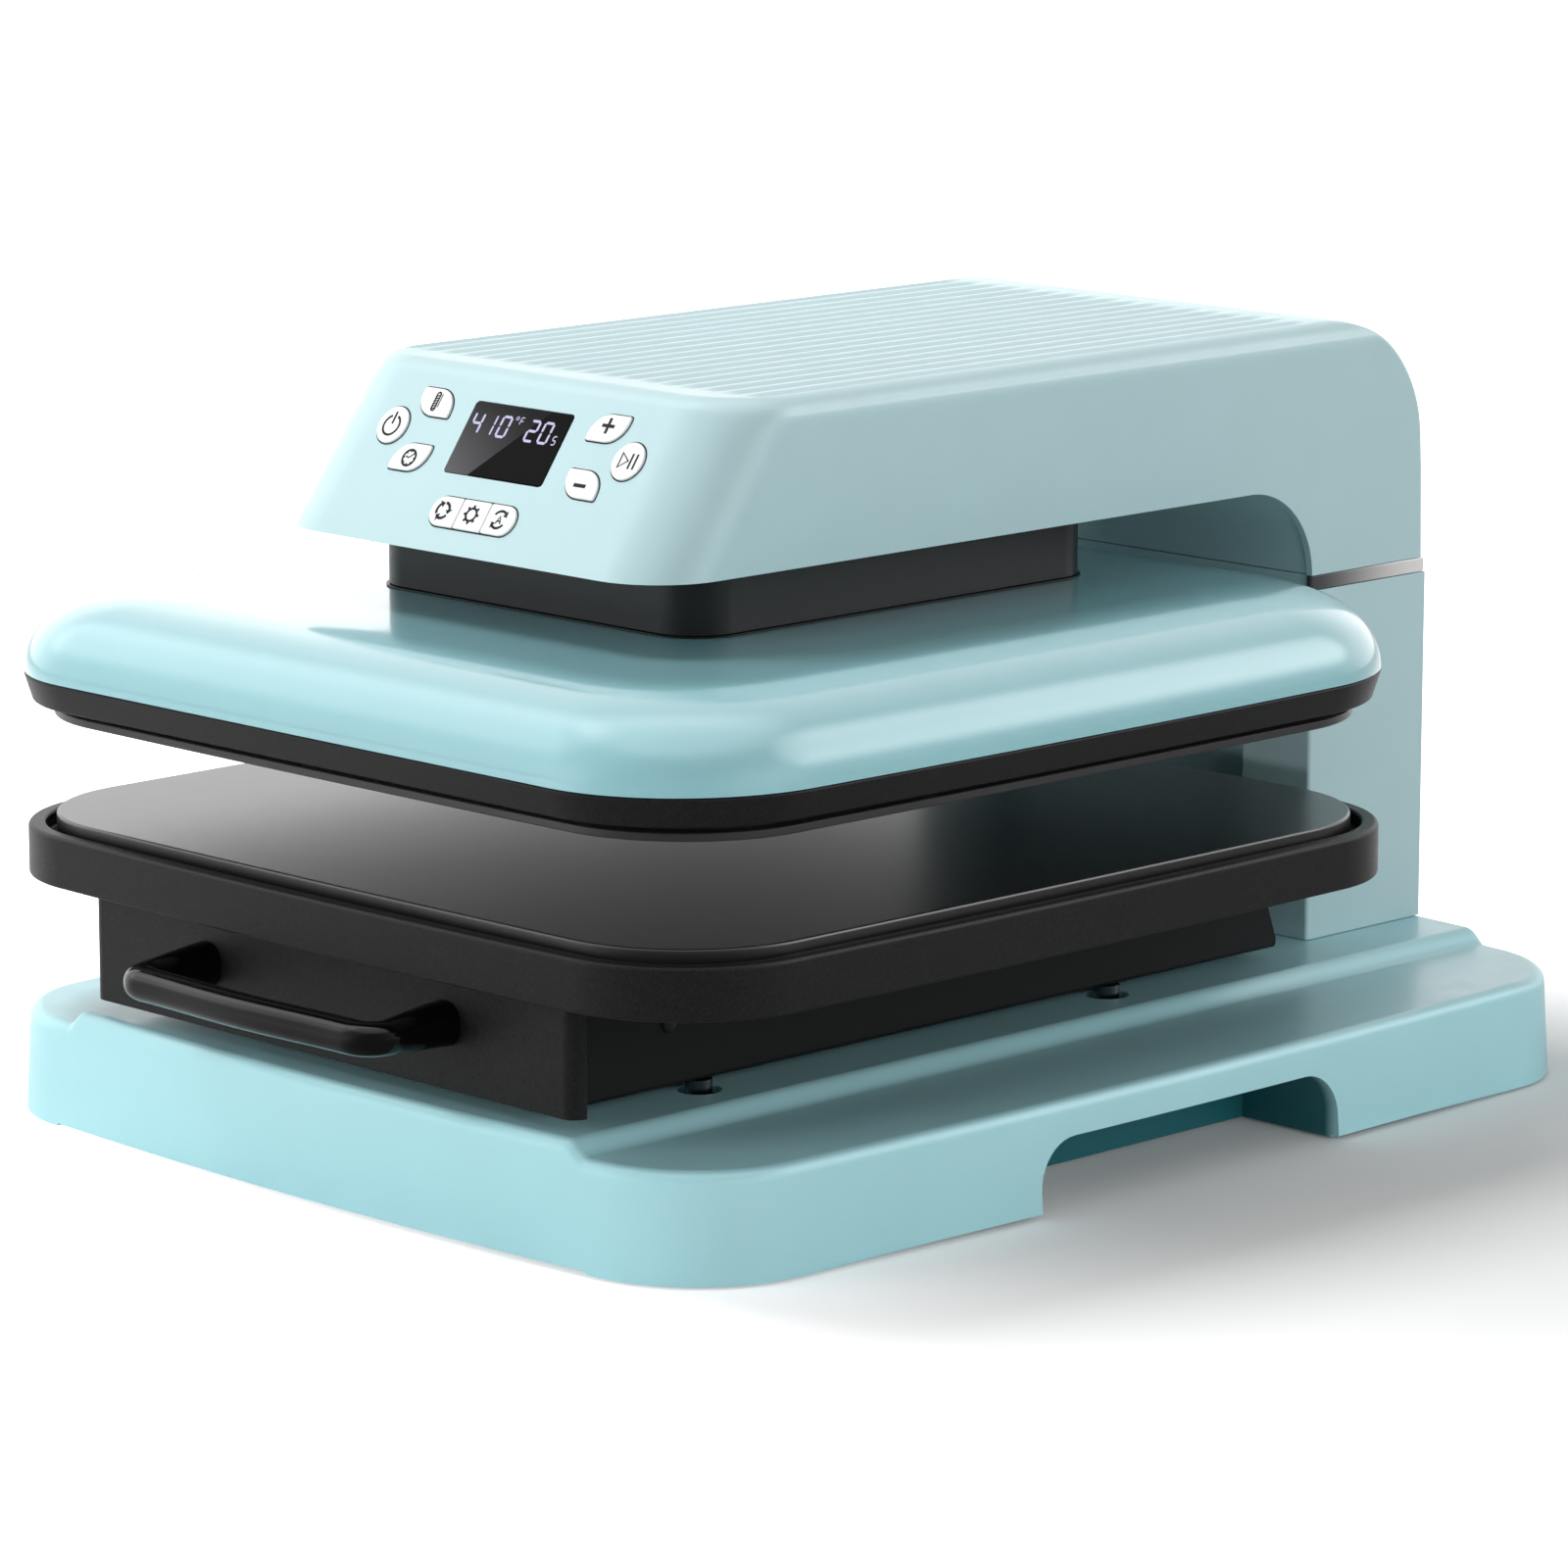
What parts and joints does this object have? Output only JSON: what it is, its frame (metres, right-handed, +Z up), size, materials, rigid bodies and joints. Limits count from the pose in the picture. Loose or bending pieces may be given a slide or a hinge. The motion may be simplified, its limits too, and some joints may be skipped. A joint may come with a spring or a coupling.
{
  "type": "automatic heat press",
  "caption": "Benchtop automatic heat press: a motor drives the upper platen straight down onto a padded bed that pulls out as a drawer, with a slanted control panel on the head.",
  "frame": {"origin": "on the table under the middle of the object's box, handle included", "axes": "+Z up, +X to the right as the user sees it, the front with the handle and panel faces -Y"},
  "size_m": [0.4134, 0.5376, 0.2915],
  "materials": {
    "teal_shell": "satin light teal, fine moulded grain",
    "gloss_teal": "glossy light teal",
    "black_cast": "fine black powder coat on a casting",
    "black_sheet": "fine black powder coat on steel sheet",
    "black_plastic": "satin black",
    "black_gloss": "glossy black",
    "pad_rubber": "smooth dark grey heat-proof sheet",
    "silver_trim": "bright satin silver",
    "bright_steel": "ground bright",
    "steel": "plain zinc plated",
    "plate_aluminium": "dark non-stick coat",
    "brass": "machined",
    "foot_rubber": "soft black",
    "white_key": null,
    "board": "green circuit board",
    "gear_plastic": "natural gear plastic",
    "insulation_wool": "pale felted mineral wool"
  },
  "bodies": {
    "press": {"base_shell": "teal_shell", "bottom_cover": "black_plastic", "foot_front_left": "foot_rubber", "foot_back_left": "foot_rubber", "foot_front_right": "foot_rubber", "foot_back_right": "foot_rubber", "base_frame": "steel", "column_frame": "steel", "head_frame": "steel", "head_casing": "teal_shell", "head_underside": "teal_shell", "column_shell": "teal_shell", "rear_cover": "teal_shell", "trim_strip": "silver_trim", "display_window": "black_gloss", "control_board": "board", "power_board": "board", "mains_inlet": "black_plastic", "drive_motor": "black_plastic", "screw_bearing": "steel", "guide_rod_left": "bright_steel", "guide_rod_right": "bright_steel", "neck_outer_skirt": "black_plastic", "post_spring_front_left": "steel", "post_spring_back_left": "steel", "post_spring_front_right": "steel", "post_spring_back_right": "steel"},
    "platen": {"neck_inner_skirt": "black_plastic", "press_yoke": "steel", "lead_nut": "brass", "platen_cover": "gloss_teal", "platen_rim": "black_cast", "insulation": "insulation_wool", "heat_plate": "plate_aluminium"},
    "screw": {"lead_screw": "steel", "screw_gear": "gear_plastic"},
    "pinion": {"motor_pinion": "steel"},
    "bed": {"bed_post_front_left": "bright_steel", "bed_post_back_left": "bright_steel", "bed_post_front_right": "bright_steel", "bed_post_back_right": "bright_steel", "bed_channel_left": "black_sheet", "bed_channel_right": "black_sheet", "bed_tie_plate": "steel"},
    "drawer": {"drawer_front": "black_sheet", "drawer_handle": "black_gloss", "drawer_runner_left": "steel", "drawer_runner_right": "steel", "tray": "black_cast", "pad": "pad_rubber"},
    "rocker": {"rocker_switch": "black_gloss"},
    "key_power": {"key_power": "white_key"},
    "key_start_pause": {"key_start_pause": "white_key"},
    "key_temperature": {"key_temperature": "white_key"},
    "key_timer": {"key_timer": "white_key"},
    "key_plus": {"key_plus": "white_key"},
    "key_minus": {"key_minus": "white_key"},
    "key_mode_left": {"key_mode_left": "white_key"},
    "key_mode_middle": {"key_mode_middle": "white_key"},
    "key_mode_right": {"key_mode_right": "white_key"}
  },
  "joints": [
    {"name": "platen_lift", "type": "slide", "parent": "press", "child": "platen", "axis": [0, 0, -1], "range_m": [0, 0.0374]},
    {"name": "screw_spin", "type": "hinge", "parent": "press", "child": "screw", "pos_m": [0, -0.0171, 0.235], "axis": [0, 0, 1], "range_deg": [0, 1348.4]},
    {"name": "pinion_spin", "type": "hinge", "parent": "press", "child": "pinion", "pos_m": [0, 0.0489, 0.27], "axis": [0, 0, 1], "range_deg": [-6062.8, 0]},
    {"name": "bed_float", "type": "slide", "parent": "press", "child": "bed", "axis": [0, 0, -1], "range_m": [0, 0.0035], "stiffness_N_per_m": 60000, "springref_m": -0.004, "deforming": ["post_spring_front_left", "post_spring_back_left", "post_spring_front_right", "post_spring_back_right"]},
    {"name": "drawer_slide", "type": "slide", "parent": "bed", "child": "drawer", "axis": [0, -1, 0], "range_m": [0, 0.23]},
    {"name": "rocker_tilt", "type": "hinge", "parent": "press", "child": "rocker", "pos_m": [-0.039, 0.2562, 0.084], "axis": [1, 0, 0], "range_deg": [0, 16]},
    {"name": "key_power_press", "type": "slide", "parent": "press", "child": "key_power", "axis": [0, 0.8171, -0.5764], "range_m": [0, 0.0008], "stiffness_N_per_m": 800, "springref_m": -0.0005},
    {"name": "key_start_pause_press", "type": "slide", "parent": "press", "child": "key_start_pause", "axis": [0, 0.8171, -0.5764], "range_m": [0, 0.0008], "stiffness_N_per_m": 800, "springref_m": -0.0005},
    {"name": "key_temperature_press", "type": "slide", "parent": "press", "child": "key_temperature", "axis": [0, 0.8171, -0.5764], "range_m": [0, 0.0008], "stiffness_N_per_m": 800, "springref_m": -0.0005},
    {"name": "key_timer_press", "type": "slide", "parent": "press", "child": "key_timer", "axis": [0, 0.8171, -0.5764], "range_m": [0, 0.0008], "stiffness_N_per_m": 800, "springref_m": -0.0005},
    {"name": "key_plus_press", "type": "slide", "parent": "press", "child": "key_plus", "axis": [0, 0.8171, -0.5764], "range_m": [0, 0.0008], "stiffness_N_per_m": 800, "springref_m": -0.0005},
    {"name": "key_minus_press", "type": "slide", "parent": "press", "child": "key_minus", "axis": [0, 0.8171, -0.5764], "range_m": [0, 0.0008], "stiffness_N_per_m": 800, "springref_m": -0.0005},
    {"name": "key_mode_left_press", "type": "slide", "parent": "press", "child": "key_mode_left", "axis": [0, 0.8171, -0.5764], "range_m": [0, 0.0008], "stiffness_N_per_m": 800, "springref_m": -0.0005},
    {"name": "key_mode_middle_press", "type": "slide", "parent": "press", "child": "key_mode_middle", "axis": [0, 0.8171, -0.5764], "range_m": [0, 0.0008], "stiffness_N_per_m": 800, "springref_m": -0.0005},
    {"name": "key_mode_right_press", "type": "slide", "parent": "press", "child": "key_mode_right", "axis": [0, 0.8171, -0.5764], "range_m": [0, 0.0008], "stiffness_N_per_m": 800, "springref_m": -0.0005}
  ],
  "couplings": [
    {"joint": "screw_spin", "follows": "platen_lift", "rad_per_m": 628.32},
    {"joint": "pinion_spin", "follows": "platen_lift", "rad_per_m": -2827.4}
  ]
}
